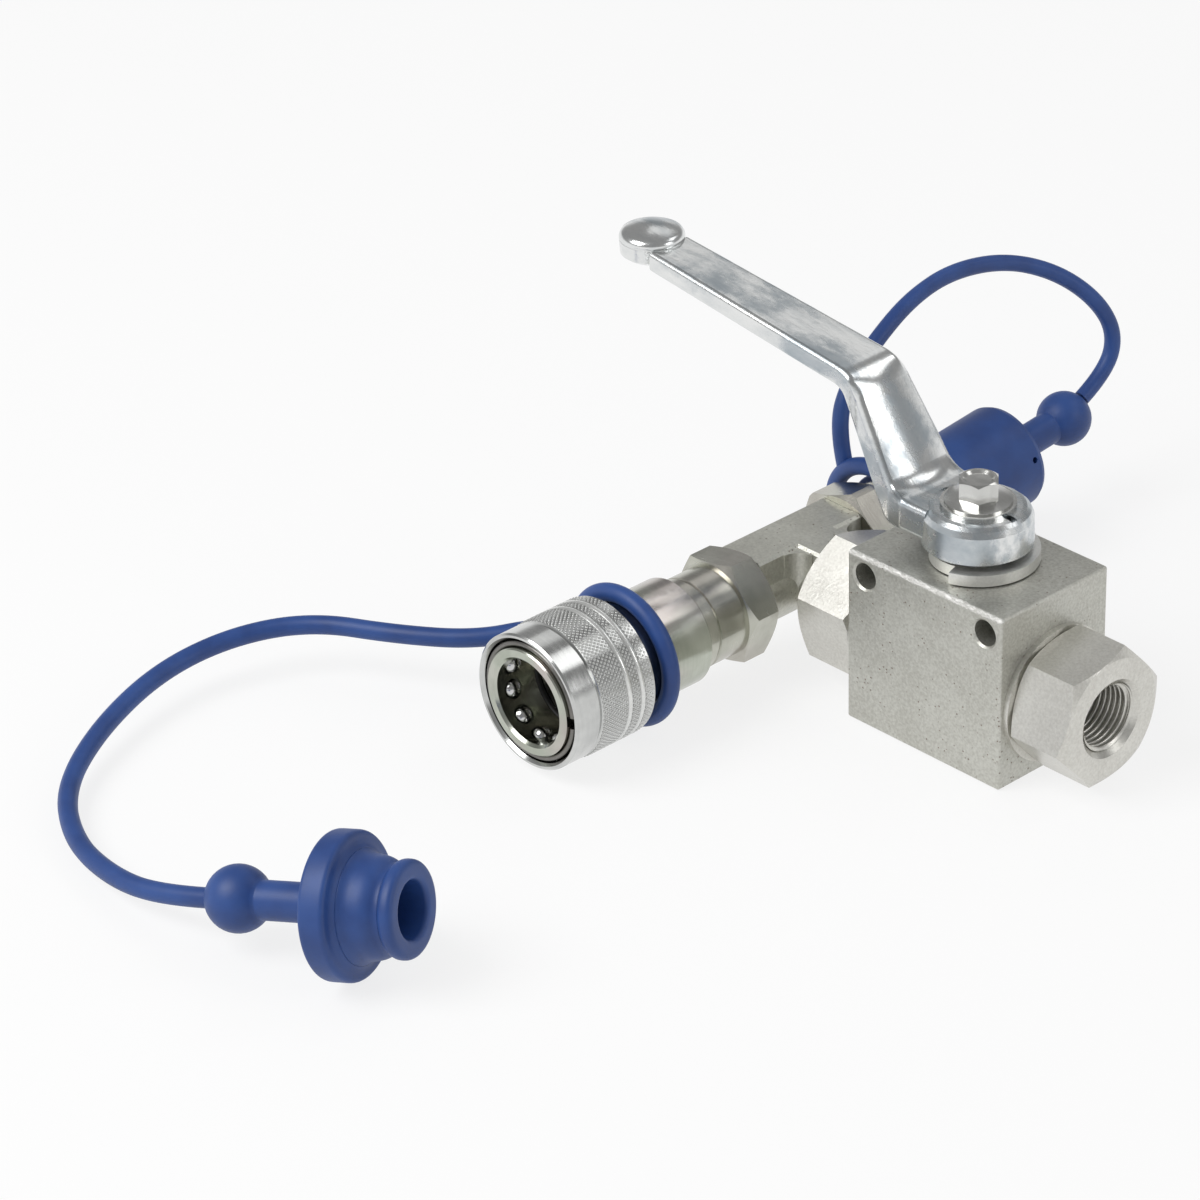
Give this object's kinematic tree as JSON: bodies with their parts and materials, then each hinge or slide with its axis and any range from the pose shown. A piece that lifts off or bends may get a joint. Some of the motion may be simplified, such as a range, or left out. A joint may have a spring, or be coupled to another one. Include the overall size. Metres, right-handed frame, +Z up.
{
  "type": "vent valve",
  "caption": "Block ball valve with a cranked lever, a tee on its inlet, a quick coupler on one arm and a capped coupler nipple on the other, with strapped dust plug and cap.",
  "frame": {"origin": "on the valve block's underside, below the stem's axis", "axes": "+X along the flow towards the open threaded port, +Y towards the capped nipple, +Z up along the stem"},
  "size_m": [0.1669, 0.2725, 0.0831],
  "materials": {
    "block_zinc": "matte",
    "fitting_zinc": "satin",
    "lever_zinc": "satin",
    "bright_zinc": "polished",
    "steel": "satin",
    "hard_chrome": "polished",
    "seat_plastic": "matte",
    "seal_rubber": "matte",
    "blue_elastomer": "satin",
    "spring_steel": "satin"
  },
  "bodies": {
    "frame": {"valve_block": "block_zinc", "outlet_connector": "fitting_zinc", "inlet_connector": "fitting_zinc", "outlet_seal": "seal_rubber", "inlet_seal": "seal_rubber", "outlet_seat": "seat_plastic", "inlet_seat": "seat_plastic", "stop_pin": "steel", "tee": "fitting_zinc", "coupler_adapter": "fitting_zinc", "coupler_body": "bright_zinc", "coupler_bore_seal": "seal_rubber", "sleeve_spring": "spring_steel", "sleeve_snap_ring": "spring_steel", "coupler_guide": "steel", "coupler_spring": "spring_steel", "nipple_body": "fitting_zinc", "nipple_guide": "steel", "nipple_spring": "spring_steel", "nipple_clip": "spring_steel", "plug_ring": "blue_elastomer", "plug_cord": "blue_elastomer", "dust_plug": "blue_elastomer", "cap_ring": "blue_elastomer", "cap_cord": "blue_elastomer"},
    "lever_set": {"lever": "lever_zinc", "lever_washer": "bright_zinc", "lever_bolt": "bright_zinc", "stop_disc": "steel", "stem_clip": "spring_steel", "stem": "steel", "stem_seal": "seal_rubber", "stem_thrust_washer": "seat_plastic", "valve_ball": "hard_chrome"},
    "sleeve": {"coupler_sleeve": "bright_zinc"},
    "coupler_valve": {"coupler_poppet": "steel"},
    "nipple_valve": {"nipple_poppet": "steel"},
    "cap": {"dust_cap": "blue_elastomer"},
    "ball_01": {"lock_ball_01": "hard_chrome"},
    "ball_02": {"lock_ball_02": "hard_chrome"},
    "ball_03": {"lock_ball_03": "hard_chrome"},
    "ball_04": {"lock_ball_04": "hard_chrome"},
    "ball_05": {"lock_ball_05": "hard_chrome"},
    "ball_06": {"lock_ball_06": "hard_chrome"},
    "ball_07": {"lock_ball_07": "hard_chrome"},
    "ball_08": {"lock_ball_08": "hard_chrome"},
    "ball_09": {"lock_ball_09": "hard_chrome"},
    "ball_10": {"lock_ball_10": "hard_chrome"}
  },
  "joints": [
    {"name": "lever_turn", "type": "hinge", "parent": "frame", "child": "lever_set", "pos_m": [0, 0, 0.04], "axis": [0, 0, 1], "range_deg": [-90, 0]},
    {"name": "sleeve_slide", "type": "slide", "parent": "frame", "child": "sleeve", "axis": [0, 1, 0], "range_m": [0, 0.0028], "stiffness_N_per_m": 1500, "springref_m": -0.002, "deforming": ["sleeve_spring"]},
    {"name": "coupler_poppet_slide", "type": "slide", "parent": "frame", "child": "coupler_valve", "axis": [0, 1, 0], "range_m": [0, 0.005], "stiffness_N_per_m": 900, "springref_m": -0.003, "deforming": ["coupler_spring"]},
    {"name": "nipple_poppet_slide", "type": "slide", "parent": "frame", "child": "nipple_valve", "axis": [0, -1, 0], "range_m": [0, 0.005], "stiffness_N_per_m": 900, "springref_m": -0.003, "deforming": ["nipple_spring"]},
    {"name": "cap_pull", "type": "slide", "parent": "frame", "child": "cap", "axis": [0, 0.9951, 0.0993], "range_m": [0, 0.016], "deforming": ["cap_cord"]},
    {"name": "ball_01_slide", "type": "slide", "parent": "frame", "child": "ball_01", "axis": [0.9703, 0, 0.2419], "range_m": [0, 0.0013]},
    {"name": "ball_02_slide", "type": "slide", "parent": "frame", "child": "ball_02", "axis": [0.6428, 0, 0.766], "range_m": [0, 0.0013]},
    {"name": "ball_03_slide", "type": "slide", "parent": "frame", "child": "ball_03", "axis": [0.0698, 0, 0.9976], "range_m": [0, 0.0013]},
    {"name": "ball_04_slide", "type": "slide", "parent": "frame", "child": "ball_04", "axis": [-0.5299, 0, 0.848], "range_m": [0, 0.0013]},
    {"name": "ball_05_slide", "type": "slide", "parent": "frame", "child": "ball_05", "axis": [-0.9272, 0, 0.3746], "range_m": [0, 0.0013]},
    {"name": "ball_06_slide", "type": "slide", "parent": "frame", "child": "ball_06", "axis": [-0.9703, 0, -0.2419], "range_m": [0, 0.0013]},
    {"name": "ball_07_slide", "type": "slide", "parent": "frame", "child": "ball_07", "axis": [-0.6428, 0, -0.766], "range_m": [0, 0.0013]},
    {"name": "ball_08_slide", "type": "slide", "parent": "frame", "child": "ball_08", "axis": [-0.0698, 0, -0.9976], "range_m": [0, 0.0013]},
    {"name": "ball_09_slide", "type": "slide", "parent": "frame", "child": "ball_09", "axis": [0.5299, 0, -0.848], "range_m": [0, 0.0013]},
    {"name": "ball_10_slide", "type": "slide", "parent": "frame", "child": "ball_10", "axis": [0.9272, 0, -0.3746], "range_m": [0, 0.0013]}
  ],
  "couplings": [
    {"joint": "ball_01_slide", "follows": "sleeve_slide", "ratio": 0.462},
    {"joint": "ball_02_slide", "follows": "sleeve_slide", "ratio": 0.462},
    {"joint": "ball_03_slide", "follows": "sleeve_slide", "ratio": 0.462},
    {"joint": "ball_04_slide", "follows": "sleeve_slide", "ratio": 0.462},
    {"joint": "ball_05_slide", "follows": "sleeve_slide", "ratio": 0.462},
    {"joint": "ball_06_slide", "follows": "sleeve_slide", "ratio": 0.462},
    {"joint": "ball_07_slide", "follows": "sleeve_slide", "ratio": 0.462},
    {"joint": "ball_08_slide", "follows": "sleeve_slide", "ratio": 0.462},
    {"joint": "ball_09_slide", "follows": "sleeve_slide", "ratio": 0.462},
    {"joint": "ball_10_slide", "follows": "sleeve_slide", "ratio": 0.462}
  ]
}
